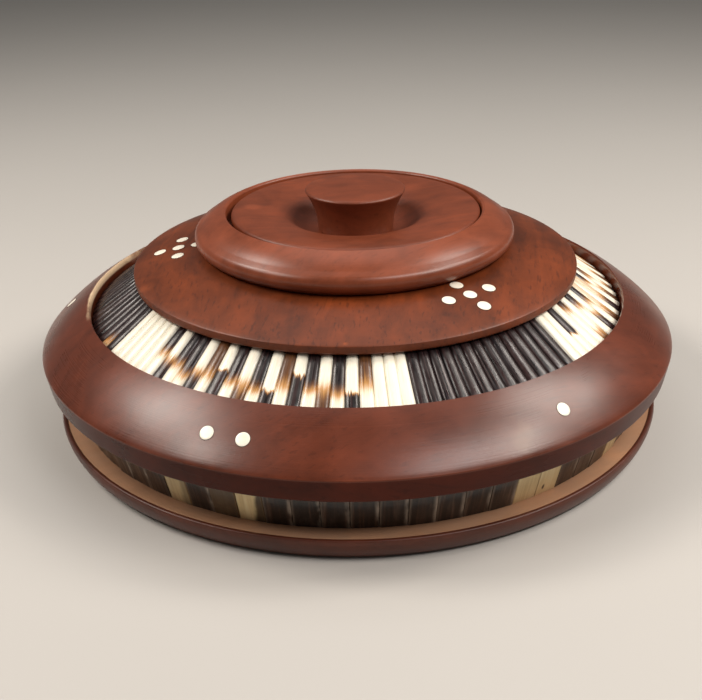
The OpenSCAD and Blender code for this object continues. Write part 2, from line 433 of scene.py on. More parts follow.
def wood(
    name, base, grain_turn, streak, fleck, mottle, rings, roughness=(0.34, 0.5), coat=0.12,
    spots=(), lip_glint_and_wear=None, shaded_below=None, ledge=None,
):
    """Waxed hardwood: streaked grain, pores, soft mottling and fine turning lines.

    spots are rubbed places, each with its centre, its reach and its strength;
    the lip's painted highlight with wear is a centre, a reach and the radius inside which it lies;
    the painted shade falls below a height, under which the wood is darker and duller;
    ledge is the height and the radius of the raw wood.
    """
    f = Finish(name, coat=coat, coat_roughness=0.28, ior=1.43)
    wave = f.noise(f.place, 16, 3, 0.5)
    waviness = f.vector_maths("MULTIPLY", wave, (0.012, 0.012, 0.006))
    bent = f.vector_maths("ADD", f.place, waviness)
    long_grain = f.mapped(bent, (14, 120, 110), grain_turn, GRAIN_TIP)
    fine_grain = f.mapped(bent, (60, 700, 600), grain_turn, GRAIN_TIP)
    streaks = f.noise(long_grain, 1, 6, 0.62, 0.6)
    pores = f.noise(fine_grain, 1, 3, 0.55)
    clouds = f.noise(f.place, 24, 4, 0.55, 0.4)
    patchy = f.noise(f.place, 85, 5, 0.62, 0.8)

    tone = f.swing(streaks, streak * 1.6)
    tone = f.add(tone, f.swing(clouds, 1.0))
    tone = f.add(tone, f.swing(patchy, mottle))
    tone = f.add(tone, 0.5)
    stops = (
        (0.12, shade(base, 0.5, -0.1)),
        (0.38, shade(base, 0.8, 0.05)),
        (0.55, base),
        (0.72, shade(base, 1.22, 0.1)),
        (0.95, shade(base, 1.5, -0.05)),
    )
    body = f.ramp(tone, stops)
    dark_pores = f.span(pores, 0.56, 0.7, 0.0, fleck, smooth=True)
    body = f.mix(dark_pores, body, shade(base, 0.36, 0.1))

    flat = f.vector_maths("MULTIPLY", f.place, (1, 1, 0))
    radius = f.vector_maths("LENGTH", flat)
    ring_w = f.times(radius, RINGS_PER_METRE)
    ring_w = f.add(ring_w, f.times(clouds, 1.5))
    lines = f.noise(None, 1, 3, 0.7, w=ring_w)
    scratch = f.span(lines, 0.6, 0.74, 0.0, rings * 0.3)
    body = f.mix(scratch, body, shade(base, 1.7, -0.3))

    split = f.nodes.new("ShaderNodeSeparateXYZ")
    f.links.new(f.place, split.inputs[0])
    height = split.outputs[2]
    # painted shade: below that height the wood is multiplied darker, with less coat and specular
    if shaded_below:
        most = 0.9
        low = f.span(height, shaded_below - 0.0006, shaded_below + 0.0002, most, 0.0)
        body = f.mix(low, body, linear(184, 150, 132), "MULTIPLY")
        f.put(f.span(low, 0.0, most, coat, 0.0), f.shader.inputs["Coat Weight"])
        f.put(f.span(low, 0.0, most, 0.5, 0.15), f.shader.inputs["Specular IOR Level"])

    rubbed_and_glint = None
    # the pale patch on the lip's edge is a painted highlight with wear
    if lip_glint_and_wear:
        centre, reach, lip_radius = lip_glint_and_wear
        near = f.spot(centre, reach, f.times(patchy, 0.5))
        edge = f.add(radius, f.swing(patchy, 0.0022))
        rubbed_and_glint = f.times(near, f.span(edge, lip_radius, lip_radius + 0.0008, 1.0, 0.0))
        rubbed_and_glint = f.times(rubbed_and_glint, f.span(height, 0.0524, 0.0534))
    for centre, reach, strength in spots:
        mark = f.times(f.spot(centre, reach, patchy), strength)
        rubbed_and_glint = mark if rubbed_and_glint is None else f.maths("MAXIMUM", rubbed_and_glint, mark)
    rough = f.span(clouds, 0.3, 0.7, roughness[0], roughness[1])
    rough = f.add(rough, f.swing(lines, 0.12 * rings))
    if rubbed_and_glint is not None:
        pale = tint("glint_and_worn_wood") if lip_glint_and_wear else shade(base, 2.6, -0.3)
        body = f.mix(rubbed_and_glint, body, pale)
        rough = f.add(rough, f.times(rubbed_and_glint, 0.2))
    if ledge:
        edge = f.add(radius, f.swing(patchy, 0.0006))
        raw = f.span(edge, ledge[1] - 0.0002, ledge[1] + 0.0002, 1.0, 0.0)
        above = f.span(height, ledge[0] - 0.0006, ledge[0] - 0.0003)
        raw = f.times(raw, above)
        bare = tint("raw_wood")
        raw_tone = f.mix(f.span(streaks, 0.3, 0.7), shade(bare, 0.74), bare)
        dusty = f.mix(f.span(patchy, 0.35, 0.7), shade(bare, 0.8, -0.3), raw_tone)
        body = f.mix(raw, body, dusty)
        rough = f.mix(raw, rough, (RAW_ROUGHNESS,) * 3)
    f.put(body, f.shader.inputs["Base Color"])
    f.put(rough, f.shader.inputs["Roughness"])

    relief = f.times(lines, 0.55 * rings)
    relief = f.add(relief, f.times(pores, -0.5 * fleck))
    relief = f.add(relief, f.times(streaks, 0.5))
    f.bump(relief, 0.00006)
    return f.material


def quill_finish(name):
    """Porcupine quill: cream, amber where it turns, then brown and near black."""
    f = Finish(name, coat=0.2, coat_roughness=0.12, ior=1.45)
    lie, (along, across, _) = f.attribute("lie")
    _, (inner, outer, change) = f.attribute("shade")
    fade = f.attribute("fade")[1][0]
    lengthwise = f.vector_maths("MULTIPLY", lie, (0.8, 4.5, 37.0))
    strands = f.noise(lengthwise, 1, 5, 0.6)
    fine = f.noise(f.vector_maths("MULTIPLY", lie, (1.6, 13, 53.0)), 1, 2, 0.5)
    blotch = f.noise(f.vector_maths("MULTIPLY", lie, (5, 1.3, 71.0)), 1, 2, 0.5)

    # where it changes shade, later in some strands than in others
    ragged = f.swing(strands, 0.26)
    reach = f.add(along, ragged)
    reach = f.add(reach, f.times(f.times(across, across), 0.05))
    begins = f.maths("SUBTRACT", change, fade)
    changed = f.span(reach, begins, f.add(change, fade), smooth=True)
    tone = f.add(inner, f.times(f.maths("SUBTRACT", outer, inner), changed))
    middle = f.times(tone, f.maths("SUBTRACT", 1.0, tone))
    tone = f.add(tone, f.times(f.swing(fine, middle), 2.2))
    cream = tint("quill_cream")
    black = tint("quill_black")
    stops = (
        (0.0, cream),
        (0.12, shade(cream, 0.93, 0.25)),
        (0.33, tint("quill_amber")),
        (0.62, tint("quill_brown")),
        (0.88, black),
        (1.0, shade(black, 0.7)),
    )
    body = f.ramp(tone, stops)
    # purple-brown and grey strands in the dark part, faint yellow ones in the cream
    dark = f.span(tone, 0.6, 0.9)
    brown_strand = f.times(f.span(strands, 0.44, 0.62), dark)
    body = f.mix(f.times(brown_strand, 0.75), body, linear(66, 43, 42))
    grey_strand = f.times(f.span(fine, 0.6, 0.74), dark)
    body = f.mix(f.times(grey_strand, 0.4), body, linear(84, 84, 96))
    pale = f.span(tone, 0.0, 0.16, 1.0, 0.0)
    yellow = f.times(f.span(fine, 0.55, 0.75), pale)
    body = f.mix(f.times(yellow, 0.5), body, linear(232, 205, 148))
    # the outer edges of each quill, where they lie together, are darkened and yellowed
    side = f.span(f.maths("ABSOLUTE", across), 0.86, 1.0, 0.0, 0.35)
    body = f.mix(side, body, linear(212, 176, 116), "MULTIPLY")
    f.put(body, f.shader.inputs["Base Color"])
    f.put(f.span(blotch, 0.3, 0.75, 0.22, 0.5), f.shader.inputs["Roughness"])
    f.bump(f.add(strands, f.times(fine, 0.15)), 0.00012)
    return f.material


def plate_finish(name, bony):
    """Horn or bone plates: upright strands, dull patches, and on horn lighter edges of painted
    highlight and wear.
    """
    f = Finish(name, coat=0.2 if bony else 0.3, coat_roughness=0.2)
    lie, (across, up, _) = f.attribute("lie")
    _, (dull, slant, mark) = f.attribute("shade")
    strands = f.noise(f.vector_maths("MULTIPLY", lie, (3.2, 0.6, 43.0)), 1, 4, 0.55)
    clouds = f.noise(f.vector_maths("MULTIPLY", lie, (1.1, 1.6, 29.0)), 1, 3, 0.6)
    if bony:
        bone = tint("bone")
        stops = ((0.25, shade(bone, 0.72, 0.5)), (0.5, shade(bone, 0.9, 0.35)), (0.72, bone))
        body = f.ramp(strands, stops)
        body = f.mix(dull, body, linear(78, 60, 44))
        leaning = f.add(across, f.times(up, -0.5))
        leaning = f.add(leaning, f.swing(clouds, 0.5))
        shadow = f.times(f.span(leaning, 0.0, 0.45, smooth=True), slant)
        body = f.mix(shadow, body, linear(58, 42, 28))
        eye_x = f.maths("SUBTRACT", across, -0.35)
        eye_y = f.times(f.maths("SUBTRACT", up, 0.2), 1.9)
        eye = f.maths("SQRT", f.add(f.maths("POWER", eye_x, 2), f.maths("POWER", eye_y, 2)))
        eye = f.times(f.span(eye, 0.07, 0.16, 1.0, 0.0), mark)
        body = f.mix(eye, body, linear(40, 26, 18))
        edge = f.span(f.maths("ABSOLUTE", across), 0.9, 1.0, 0.0, 0.6)
        body = f.mix(edge, body, linear(120, 92, 60))
    else:
        horn = tint("horn")
        stops = (
            (0.36, shade(horn, 0.5)),
            (0.5, horn),
            (0.6, linear(56, 38, 28)),
            (0.74, linear(100, 84, 72)),
        )
        body = f.ramp(strands, stops)
        body = f.mix(f.times(f.span(clouds, 0.55, 0.75), 0.45), body, linear(84, 66, 54))
        # painted highlight with wear: a pale band along one edge of each horn plate, a fainter one
        # along the other
        edge = f.times(f.span(across, 0.62, 0.95, smooth=True), 0.85)
        edge = f.times(edge, f.span(clouds, 0.38, 0.6))
        body = f.mix(edge, body, linear(158, 144, 130))
        edge = f.times(f.span(across, -0.8, -0.97), 0.5)
        body = f.mix(edge, body, linear(128, 112, 98))
    f.put(body, f.shader.inputs["Base Color"])
    f.put(f.span(clouds, 0.3, 0.7, 0.28, 0.52), f.shader.inputs["Roughness"])
    f.bump(strands, 0.0002)
    return f.material


def dot_finish(name):
    """Polished bone with faint pits."""
    f = Finish(name, coat=0.2, coat_roughness=0.15)
    pits = f.noise(f.place, 2600, 3, 0.6)
    clouds = f.noise(f.place, 500, 3, 0.5)
    bone = tint("dot_bone")
    body = f.mix(f.span(clouds, 0.3, 0.7), shade(bone, 0.93, 0.1), bone)
    body = f.mix(f.span(pits, 0.64, 0.78, 0.0, 0.35), body, linear(190, 164, 122))
    f.put(body, f.shader.inputs["Base Color"])
    f.put(f.span(clouds, 0.3, 0.7, 0.28, 0.4), f.shader.inputs["Roughness"])
    f.bump(pits, 0.00004)
    return f.material


def glue_finish(name):
    """Dark glue line round an inlaid dot."""
    f = Finish(name, roughness=0.6)
    grain = f.noise(f.place, 1800, 2, 0.6)
    body = f.mix(grain, linear(30, 14, 9), linear(64, 34, 22))
    f.put(body, f.shader.inputs["Base Color"])
    return f.material


def floor_finish(name):
    """Plain pale floor with a faint cloudiness."""
    f = Finish(name, roughness=0.6)
    clouds = f.noise(f.place, 5, 3, 0.5)
    base = tint("floor")
    f.put(f.mix(clouds, shade(base, 0.96), base), f.shader.inputs["Base Color"])
    return f.material


FINISHES = {}


def finish_of(name):
    """Each finish is made once, when a piece first needs it."""
    if name in FINISHES:
        return FINISHES[name]
    makers = {
        "rim wood": lambda: wood(
            name, tint("rim_wood"), 24, streak=0.55, fleck=0.35, mottle=0.3, rings=0.7,
            # the rim is painted darker below its crease as shade
            roughness=(0.25, 0.37), coat=0.2, shaded_below=0.0381,
            spots=(
                (on_top(135.1, 43.2, 25.2), 0.006, 0.08),
                (on_top(133.4, 44.9, 26.4), 0.005, 0.07),
            ),
            # a pale patch on the lip's left side, a painted highlight with wear
            lip_glint_and_wear=(on_top(117.6, 55.4, -96), 0.03, (size("opening_radius") + 1.2) * MM),
        ),
        # the rim wood darkened to two thirds as painted shade, with the raw ledge
        "base wood": lambda: wood(
            name, shade(tint("rim_wood"), 0.66), 24, streak=0.5, fleck=0.3, mottle=0.25, rings=0.5,
            ledge=(size("ledge_height") * MM, (size("base_radius") - 2.1) * MM),
        ),
        "inner wood": lambda: wood(
            name, tint("inner_wood"), 24, streak=0.8, fleck=0.5, mottle=0.3, rings=1.0,
            roughness=(0.45, 0.6), coat=0.0,
        ),
        "shoulder wood": lambda: wood(
            name, tint("shoulder_wood"), 84, streak=0.75, fleck=0.6, mottle=0.7, rings=0.25,
            roughness=(0.4, 0.52),
            spots=(
                (on_top(95.6, 70.6, -67), 0.005, 0.3),
                (on_top(96, 70.3, -2.9), 0.0016, 0.8),
            ),
        ),
        "collar wood": lambda: wood(
            name, tint("collar_wood"), 40, streak=0.35, fleck=0.25, mottle=0.45, rings=0.5,
            roughness=(0.3, 0.42), coat=0.2,
            spots=(
                (on_top(66, 87.6, -92), 0.008, 0.22),
                (on_top(63, 88.9, -112), 0.007, 0.2),
            ),
        ),
        "lid wood": lambda: wood(
            name, tint("lid_wood"), 12, streak=0.45, fleck=0.3, mottle=0.5, rings=0.6,
            roughness=(0.36, 0.5),
            spots=(
                (on_top(45.2, 90.8, -95), 0.005, 0.25),
                (on_top(47, 90.8, 160), 0.006, 0.2),
                (on_top(14, 101.5, 190), 0.006, 0.16),
                (on_top(18, 101, 235), 0.004, 0.18),
            ),
        ),
        "quill": lambda: quill_finish(name),
        "horn": lambda: plate_finish(name, False),
        "bone plate": lambda: plate_finish(name, True),
        "bone dot": lambda: dot_finish(name),
        "glue": lambda: glue_finish(name),
        "floor": lambda: floor_finish(name),
    }
    FINISHES[name] = makers[name]()
    return FINISHES[name]


# ---- turned pieces ----


class BowlTurnBase(bpy.types.Operator):
    """Turn the base plate, with its foot, its thin lip and the raw ledge inside it"""

    bl_idname = "bowl.turn_base"
    bl_label = "Turn Base"

    def execute(self, context):
        outer = size("base_radius")
        ledge = size("ledge_height")
        foot = 131.3
        recess = 118
        outline = [(0, 1.5), (recess, 1.5, 0.4), (recess + 1, 0, 0.3), (foot - 1, 0, 0.5)]
        outline += crown((outer, ledge - 1.2), (foot, 0.6), 12, 8)
        outline += [
            (outer - 0.3, ledge + 0.2, 0.3),
            (outer - 1.1, ledge + 0.55, 0.4),
            (outer - 1.9, ledge + 0.3, 0.25),
            (outer - 2.1, ledge, 0.15),
            (0, ledge),
        ]
        # the base's finish is the rim wood darkened as painted shade
        turn_piece("base_plate", outline, "base wood")
        return {"FINISHED"}


class BowlTurnVessel(bpy.types.Operator):
    """Turn the two halves of the vessel, smooth inside"""

    bl_idname = "bowl.turn_vessel"
    bl_label = "Turn Vessel"

    def execute(self, context):
        ledge = size("ledge_height")
        floor = 14
        lower = [(0, ledge), (121.3, ledge), (126.5, HALVES_MEET), (HOLLOW, HALVES_MEET)]
        lower += arc((HOLLOW - 20, floor + 20), 20, -14, -90, 12)
        lower += [(0, floor)]
        turn_piece("lower_bowl", lower, "inner wood")
        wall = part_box("upper_shell")[1].x / MM
        ceiling = 57
        shoulder_bed = 92
        upper = [
            (MOUTH, ceiling, 0.8),
            (76.8, ceiling, 3.0),
            (HOLLOW, HALVES_MEET),
            (wall, HALVES_MEET),
            (wall, 33.3),
            (shoulder_bed, 62.6),
            (shoulder_bed, SHOULDER_SEAT),
            (MOUTH, SHOULDER_SEAT),
        ]
        turn_piece("upper_shell", upper, "inner wood")
        return {"FINISHED"}


class BowlTurnRim(bpy.types.Operator):
    """Turn the wide rim ring, with its crease and its crowned upper face"""

    bl_idname = "bowl.turn_rim"
    bl_label = "Turn Rim"

    def execute(self, context):
        radius = size("rim_radius")
        crease = size("crease_height")
        inner, outer, curve = rim_crown()
        opening = size("opening_radius")
        outline = [
            (RIM_SEAT, HALVES_MEET),
            (radius - 2.7, 28.2, 0.4),
            (radius - 1.7, 28.9, 0.5),
            (radius - 0.25, crease - 1.5, 0.4),
            (radius, crease - 0.2, 0.35),
        ]
        outline += crown(inner, outer, curve, 20)
        outline += [(opening, inner[1] - 0.9, 0.5), (opening, 43.7), (RIM_SEAT, 33.4)]
        turn_piece("rim_ring", outline, "rim wood")
        return {"FINISHED"}


class BowlTurnShoulder(bpy.types.Operator):
    """Turn the shoulder disc that covers the quills' inner ends"""

    bl_idname = "bowl.turn_shoulder"
    bl_label = "Turn Shoulder"

    def execute(self, context):
        radius = size("shoulder_radius")
        inner, outer, curve = shoulder_crown()
        underside = outer[1] - 3.8
        outline = [
            (MOUTH, underside),
            (radius - 0.7, underside, 0.3),
            (radius - 0.1, outer[1] - 3.2, 0.3),
            (radius, outer[1] - 0.4, 0.25),
        ]
        outline += crown(inner, outer, curve, 14)
        outline += [(MOUTH, COLLAR_SEAT)]
        turn_piece("shoulder_disc", outline, "shoulder wood")
        return {"FINISHED"}


class BowlTurnCollar(bpy.types.Operator):
    """Turn the collar ring, with its rounded nose and the recess for the lid"""

    bl_idname = "bowl.turn_collar"
    bl_label = "Turn Collar"

    def execute(self, context):
        nose = size("collar_radius")
        crest = size("crest_height")
        recess = 55.9
        outline = [(MOUTH, COLLAR_SEAT), (nose - 4, COLLAR_SEAT), (nose - 3.2, 77.4, 0.3)]
        outline += arc((nose - 4.4, 82.2), 4.4, -62, 52, 12)
        outline += crown((57.1, crest), (nose - 3.4, 86.6), 26, 10)
        outline += [(recess, crest - 0.6, 0.5), (recess, LID_REST, 0.2), (MOUTH, LID_REST, 0.4)]
        turn_piece("collar_ring", outline, "collar wood")
        return {"FINISHED"}


class BowlTurnLid(bpy.types.Operator):
    """Turn the dished lid and its flared knob"""

    bl_idname = "bowl.turn_lid"
    bl_label = "Turn Lid"

    def execute(self, context):
        low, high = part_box("lid_disc")
        shift = (low.x + high.x) / 2
        radius = size("lid_radius")
        plug, plug_foot, seat = 49, 78, 84.05
        bore, dish_floor = 8.05, 82.4
        dish_edge = (28.9, 88.5)
        lid = [
            (bore, plug_foot),
            (plug - 0.6, plug_foot, 0.6),
            (plug, plug_foot + 0.8, 0.5),
            (plug, seat),
            (radius, seat, 0.3),
            (radius, 90.6, 0.6),
            (radius - 1.0, 91.5, 0.7),
        ]
        lid += crown(dish_edge, (51, 91.7), 84, 10)[:-1]
        lid += [
            (*dish_edge, 2.1),
            (25.4, 85.3, 2.0),
            (21.4, 83.0, 1.6),
            (17.6, dish_floor, 0.8),
            (bore, dish_floor),
        ]
        turn_piece("lid_disc", lid, "lid wood", "lid", shift)
        top = size("knob_radius")
        edge = size("knob_height")
        foot = 82.44
        waist = 16.6
        tenon = 8
        knob = [(0, plug_foot), (tenon, plug_foot), (tenon, foot), (waist, foot, 0.2)]
        flare = 2.1
        for i in range(1, 11):
            u = i / 10
            knob.append((waist + (top - 17.2) * u**flare, foot + (edge - 1.4 - foot) * u))
        knob += [(top, edge - 0.5, 0.3), (top - 0.5, edge + 0.25, 0.3)]
        knob += crown((0, edge + 1.6), (top - 1.2, edge + 0.45), 200, 8)[:-1]
        knob += [(0, edge + 1.6)]
        turn_piece("lid_knob", knob, "lid wood", "lid", shift)
        return {"FINISHED"}


# ---- quills ----

CREAM = 0.0
TAN = 0.2
BROWN = 0.66
DARK = 1.0
SOFT = 0.25
SHARP = 0.06

# inner shade, outer shade, where it changes, how softly
FRONT_QUILLS = (
    (DARK, CREAM, 0.45, SOFT),
    (CREAM, DARK, 0.6, SOFT),
    (DARK, CREAM, 0.55, SOFT),
    (DARK, CREAM, 0.66, SOFT),
    (CREAM, DARK, 0.62, SOFT),
    (BROWN, CREAM, 0.6, SOFT),
    (CREAM, DARK, 0.48, SHARP),
    (DARK, CREAM, 0.58, SOFT),
    (CREAM, BROWN, 0.6, SOFT),
    (DARK, CREAM, 0.62, SOFT),
    (CREAM, DARK, 0.66, SHARP),
    (BROWN, CREAM, 0.56, SOFT),
    (CREAM, DARK, 0.38, SHARP),
    (DARK, CREAM, 0.55, SOFT),
    (CREAM, BROWN, 0.56, SOFT),
    (DARK, CREAM, 0.6, SOFT),
    (CREAM, DARK, 0.62, SHARP),
    (BROWN, CREAM, 0.5, SOFT),
)
RIGHT_WHITES = (
    (CREAM, CREAM, 0.5, SOFT),
    (CREAM, CREAM, 0.5, SOFT),
    (DARK, CREAM, 0.56, SHARP),
    (CREAM, CREAM, 0.5, SOFT),
)
# node, slot, first and last azimuth, how many, kind
QUILL_RUNS = (
    ("quills_white_front", "quill_white", 2.8, 10.5, 3, "white"),
    ("quills_dark_right", "quill_dark", 10.5, 47.6, 14, "dark"),
    ("quills_white_right", "quill_white", 47.6, 58.4, 4, "white right"),
    ("quills_mixed_right", "quill_mixed", 58.4, 125, 25, "streaked"),
    ("quills_mixed_back", "quill_mixed", 125, 249, 46, "mixed"),
    ("quills_dark_left", "quill_dark", 249, 299.1, 19, "dark left"),
    ("quills_white_left", "quill_white", 299.1, 312.6, 5, "white"),
    ("quills_mixed_front", "quill_mixed", 312.6, 362.8, 18, "front"),
)


def quill_shades(kind, index, rng):
    """Inner shade, outer shade, place of the change and its softness for one quill."""
    if kind == "front":
        return FRONT_QUILLS[index]
    if kind == "white right":
        return RIGHT_WHITES[index]
    if kind == "white":
        return CREAM, CREAM, 0.5, SOFT
    if kind == "dark left" and index == 17:
        return DARK, TAN, 0.8, SOFT
    if kind in ("dark", "dark left"):
        return rng.uniform(0.88, 1.0), rng.uniform(0.9, 1.0), 0.5, SOFT
    if kind == "streaked":
        if index % 2:
            inner = rng.choice((CREAM, TAN))
            return inner, rng.choice((DARK, BROWN)), rng.uniform(0.6, 0.85), SOFT
        return rng.choice((BROWN, DARK, TAN)), CREAM, rng.uniform(0.15, 0.45), SOFT
    change = rng.uniform(0.4, 0.68)
    if index % 2:
        return CREAM, rng.choice((DARK, DARK, BROWN)), change, rng.choice((SOFT, SHARP))
    return rng.choice((DARK, DARK, BROWN)), CREAM, change, SOFT


QUILL_SLOPE = 34.73
QUILL_ENDS = (95.3, 117.2)
# radius and height of a point on the line of the quills' tops
QUILL_TOPS = (95.6, 65.4)
# how square a quill is: 2 is round, and more is squarer
SQUARENESS = 3.4
# rings of points between a quill's ends
CUTS = 3


def quill(azimuth, pitch, shades, rng):
    """One quill: a tapered rod, slightly uneven, lying on the slope."""
    bm, lie, shade_layer, fade_layer = part_with("lie", "shade", "fade")
    inner_r, outer_r = QUILL_ENDS[0], QUILL_ENDS[1] - rng.uniform(0.0, 0.5)
    slope = math.radians(QUILL_SLOPE)
    half = math.radians(pitch / 2)
    thick = rng.uniform(1.02, 1.06)
    radius_in = inner_r * math.sin(half) * thick
    radius_out = outer_r * math.sin(half) * thick
    run = (outer_r - inner_r) / math.cos(slope)
    bmesh.ops.create_cone(
        bm, cap_ends=True, cap_tris=False, segments=18,
        radius1=radius_in * MM, radius2=radius_out * MM, depth=run * MM,
    )
    ends = [e for e in bm.edges if e.verts[0].co.z * e.verts[1].co.z > 0]
    soften(bm, ends, 0.35, 2)
    sides = [e for e in bm.edges if e.verts[0].co.z * e.verts[1].co.z < 0]
    bmesh.ops.subdivide_edges(bm, edges=sides, cuts=CUTS, use_grid_fill=True)
    seed = rng.random()
    sway = rng.uniform(-0.12, 0.12)
    hoops = CUTS + 2
    swell = [rng.uniform(0.985, 1.02) for _ in range(hoops)]
    for vert in bm.verts:
        t = min(1.0, max(0.0, vert.co.z / (run * MM) + 0.5))
        girth = (radius_in + (radius_out - radius_in) * t) * MM
        vert[lie] = (t, vert.co.y / girth, seed)
        vert[shade_layer] = shades[:3]
        vert[fade_layer] = (shades[3], 0, 0)
        turn = math.atan2(vert.co.y, vert.co.x)
        squared = abs(math.cos(turn)) ** SQUARENESS + abs(math.sin(turn)) ** SQUARENESS
        flatten = squared ** (-1 / SQUARENESS)
        grow = swell[min(hoops - 1, int(t * hoops))] * flatten
        vert.co.x *= grow
        vert.co.y = vert.co.y * grow + sway * MM * math.sin(t * math.pi)
    # the axis from a to b, which brings the tops of all quills to one line
    top_r, top_z = QUILL_TOPS
    drop = rng.uniform(0.0, 0.22)
    down, along = math.cos(slope), math.sin(slope)
    top_in = top_z + (top_r - inner_r) * math.tan(slope)
    top_out = top_z - (outer_r - top_r) * math.tan(slope)
    a = (inner_r - along * radius_in, top_in - down * radius_in - drop)
    b = (outer_r - along * radius_out, top_out - down * radius_out - drop)
    tilt = math.atan2(a[1] - b[1], b[0] - a[0])
    middle = Vector(((a[0] + b[0]) / 2 * MM, 0, (a[1] + b[1]) / 2 * MM))
    place = (
        to_azimuth(azimuth)
        @ Matrix.Translation(middle)
        @ Matrix.Rotation(math.pi / 2 + tilt, 4, "Y")
        @ Matrix.Rotation(rng.uniform(-0.13, 0.13), 4, "Z")
    )
    bmesh.ops.transform(bm, matrix=place, verts=bm.verts[:])
    return bm


class BowlLayQuills(bpy.types.Operator):
    """Lay the runs of quills round the shoulder"""

    bl_idname = "bowl.lay_quills"
    bl_label = "Lay Quills"

    def execute(self, context):
        rng = random.Random(11)
        for node, slot, first, last, count, kind in QUILL_RUNS:
            bm = part_with("lie", "shade", "fade")[0]
            pitch = (last - first) / count
            for i in range(count):
                shades = quill_shades(kind, i, rng)
                join_part(bm, quill(first + (i + 0.5) * pitch, pitch, shades, rng))
            new_piece(node + "_laid", bm, [finish_of("quill")], "bowl", [node], 50)
        return {"FINISHED"}


# ---- plates ----

# dull, slanted shadow, small mark
BONE_PLATES = {
    0: (0.05, 0.0, 0.0),
    1: (0.0, 0.0, 1.0),
    5: (0.2, 0.0, 0.0),
    23: (0.1, 0.0, 0.0),
    37: (0.0, 0.5, 0.0),
    48: (0.15, 0.0, 0.0),
    62: (0.25, 0.5, 0.0),
    64: (0.96, 0.3, 0.0),
    65: (0.0, 0.95, 0.0),
}
# azimuth at which plate 0 begins
FIRST_PLATE = 26.8
PLATE_GAP = 0.16


def plate(azimuth, shades, rng):
    """One plate: a bevelled slab, wider at its top, leaning outwards from the ledge."""
    bm, lie, shade_layer = part_with("lie", "shade")
    foot_r, top_r = 126.0, 131.2
    foot_z, top_z = size("ledge_height") + 0.04, 28.9
    thick = 4.2
    pitch = math.radians(360 / bpy.context.scene.bowl_sizes.plate_count)
    width = 2 * foot_r * math.sin(pitch / 2) - PLATE_GAP
    top_width = 2 * top_r * math.sin(pitch / 2) - PLATE_GAP
    lean = math.atan2(top_r - foot_r, top_z - foot_z)
    tall = (top_z - foot_z) / math.cos(lean)
    made = bmesh.ops.create_cube(bm, size=1)
    bmesh.ops.scale(bm, vec=(thick * MM, width * MM, tall * MM), verts=made["verts"])
    upper = [v for v in made["verts"] if v.co.z > 0]
    bmesh.ops.scale(bm, vec=(1, top_width / width, 1), verts=upper)
    soften(bm, bm.edges[:], 0.3, 3)
    seed = rng.random()
    for vert in bm.verts:
        vert[lie] = (vert.co.y / (width * MM / 2), vert.co.z / (tall * MM) + 0.5, seed)
        vert[shade_layer] = shades
    inset = rng.uniform(0.0, 0.35)
    middle_r = (foot_r + top_r) / 2 - thick / 2 - inset
    middle = Vector((middle_r * MM, 0, (foot_z + top_z) / 2 * MM))
    place = (
        to_azimuth(azimuth)
        @ Matrix.Translation(middle)
        @ Matrix.Rotation(lean, 4, "Y")
        @ Matrix.Rotation(rng.uniform(-0.02, 0.02), 4, "Z")
    )
    bmesh.ops.transform(bm, matrix=place, verts=bm.verts[:])
    return bm


class BowlSetPlates(bpy.types.Operator):
    """Set the horn and bone plates under the rim"""

    bl_idname = "bowl.set_plates"
    bl_label = "Set Plates"

    def execute(self, context):
        rng = random.Random(5)
        count = context.scene.bowl_sizes.plate_count
        for node, slot, finish, bony in (
            ("plates_horn", "horn", "horn", False),
            ("plates_bone", "bone", "bone plate", True),
        ):
            bm = part_with("lie", "shade")[0]
            for i in range(count):
                if (i in BONE_PLATES) == bony:
                    azimuth = FIRST_PLATE + (i + 0.5) * 360 / count
                    join_part(bm, plate(azimuth, BONE_PLATES.get(i, (0, 0, 0)), rng))
            new_piece(node + "_set", bm, [finish_of(finish)], "bowl", [node], 50)
        return {"FINISHED"}


# ---- bone dots ----

# a five: radius of its middle dot, then how far the others are off it, in mm and degrees
FIVE_RADIUS = 78
FIVE_REACH = 8.3
FIVE_TURN = 7.6
RIM_DOT_RADIUS = 130.8
RIM_DOT_AZIMUTHS = (34.9, -24.9, -18.6, -92.5, 153.2)


def disc(radius, top, dome, index):
    """A round plug whose face stands at a height, domed where dome is above 0."""
    bm = bmesh.new()
    depth = 1.2
    bmesh.ops.create_cone(
        bm, cap_ends=True, cap_tris=False, segments=32,
        radius1=radius * MM, radius2=radius * MM, depth=depth * MM,
    )
    bmesh.ops.translate(bm, vec=(0, 0, (top - depth / 2) * MM), verts=bm.verts[:])
    if dome:
        upper = [e for e in bm.edges if min(v.co.z for v in e.verts) > 0]
        soften(bm, upper, 0.12, 2)
        face = max(bm.faces, key=lambda f: (len(f.verts) > 4, f.calc_center_median().z))
        for rise in (0.5, 0.34, 0.16):
            bmesh.ops.inset_region(bm, faces=[face], thickness=0.7 * MM, use_even_offset=True)
            bmesh.ops.translate(bm, vec=(0, 0, dome * rise * MM), verts=face.verts[:])
    for face in bm.faces:
        face.material_index = index
    return bm


def dot(bm, crowned, radius, azimuth):
    """A domed dot square to the wood, in a thin ring of dark glue."""
    inner, outer, curve = crowned
    centre = crown_centre(inner, outer, curve)
    height = centre[1] + math.sqrt(curve * curve - (radius - centre[0]) ** 2)
    tilt = math.asin((radius - centre[0]) / curve)
    place = (
        to_azimuth(azimuth)
        @ Matrix.Translation((radius * MM, 0, height * MM))
        @ Matrix.Rotation(tilt, 4, "Y")
    )
    half = size("dot_diameter") / 2
    # radius, height of the face, dome and finish: the glue, then the bone
    for wide, top, dome, index in ((half + 0.14, 0.05, 0.0, 1), (half - 0.06, 0.16, 0.12, 0)):
        part = disc(wide, top, dome, index)
        bmesh.ops.transform(part, matrix=place, verts=part.verts[:])
        join_part(bm, part)


